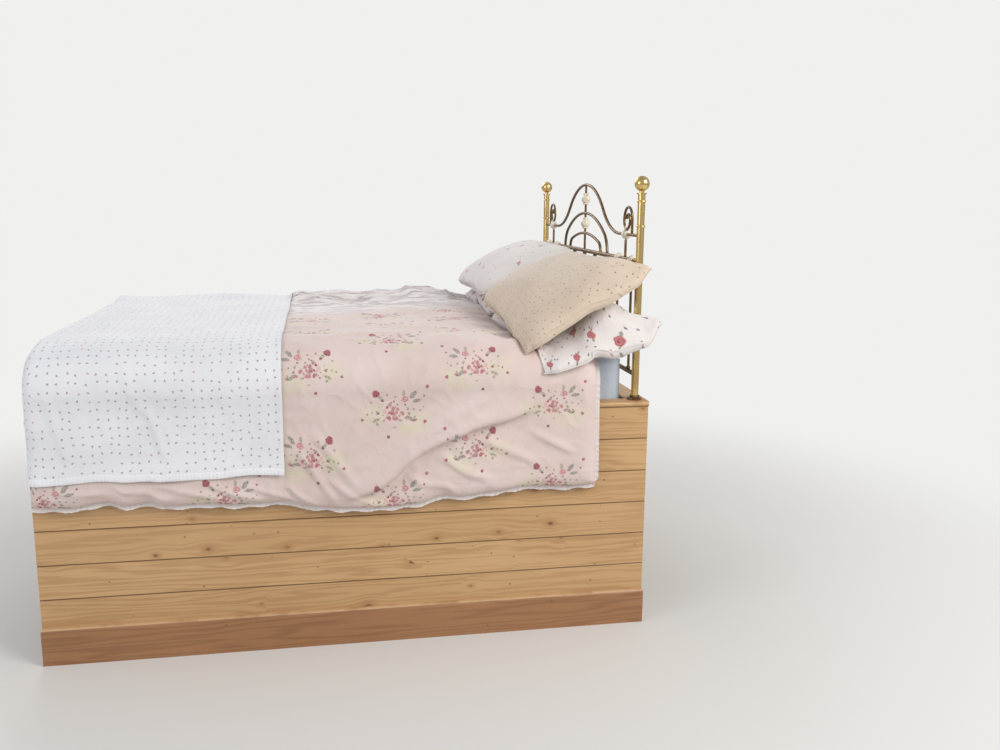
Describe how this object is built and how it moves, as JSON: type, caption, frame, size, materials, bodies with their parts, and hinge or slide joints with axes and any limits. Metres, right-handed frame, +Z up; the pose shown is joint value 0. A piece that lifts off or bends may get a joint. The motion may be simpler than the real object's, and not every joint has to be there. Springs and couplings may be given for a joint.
{
  "type": "built-in bed of a shepherds hut",
  "caption": "Bed built in across the end of a hut: boarded front on a plinth, slatted deck, mattress, duvet, throw and pillows, and a brass and iron bedhead with scrolls.",
  "frame": {"origin": "on the floor, at the middle of the bed with its bedding", "axes": "+X along the bed from its foot to its head, +Y from the room to the end wall, +Z up"},
  "size_m": [1.98, 1.4856, 1.546],
  "materials": {
    "board_pine": "clear-waxed honey pine boards with knots",
    "plinth_pine": "stained pine, redder and darker than the boards",
    "frame_pine": "planed bare softwood",
    "ticking": "off-white woven mattress ticking",
    "sheet_cotton": "pale grey-blue cotton sheet",
    "duvet_cotton": "dusty pink cotton with scattered flower sprays",
    "throw_cotton": "white cotton with small rosebud dots and a white hem",
    "sprig_cotton": "cream cotton with tiny sprigs",
    "floral_cotton": "white cotton with red and blue flowers",
    "brass": "polished brass tube, slightly tarnished",
    "bronzed_iron": "dark bronze painted iron rod",
    "cream_casting": "cream enamel on cast iron"
  },
  "bodies": {
    "root": {"plinth_board": "plinth_pine", "front_board_1": "board_pine", "front_board_2": "board_pine", "front_board_3": "board_pine", "front_board_4": "board_pine", "front_board_5": "board_pine", "front_board_6": "board_pine", "front_board_7": "board_pine", "capping": "board_pine", "sole_plate": "frame_pine", "front_studs": "frame_pine", "front_bearer": "frame_pine", "middle_bearer": "frame_pine", "middle_legs": "frame_pine", "back_ledger": "frame_pine", "back_legs": "frame_pine", "head_rail": "frame_pine", "slats": "frame_pine", "mattress": "ticking", "fitted_sheet": "sheet_cotton", "duvet": "duvet_cotton", "throw": "throw_cotton", "pillow_near_lower": "floral_cotton", "pillow_near_upper": "sprig_cotton", "pillow_far_lower": "floral_cotton", "pillow_far_upper": "floral_cotton", "bedhead_post_near": "brass", "bedhead_post_far": "brass", "bedhead_knob_near": "brass", "bedhead_knob_far": "brass", "bedhead_flange_near": "bronzed_iron", "bedhead_flange_far": "bronzed_iron", "bedhead_bottom_rail": "bronzed_iron", "bedhead_middle_rail": "bronzed_iron", "bedhead_outer_arch": "bronzed_iron", "bedhead_inner_arch": "bronzed_iron", "bedhead_small_arch": "bronzed_iron", "bedhead_scrolls": "bronzed_iron", "bedhead_spindles": "bronzed_iron", "bedhead_struts": "bronzed_iron", "bedhead_knuckles": "cream_casting"}
  },
  "joints": []
}
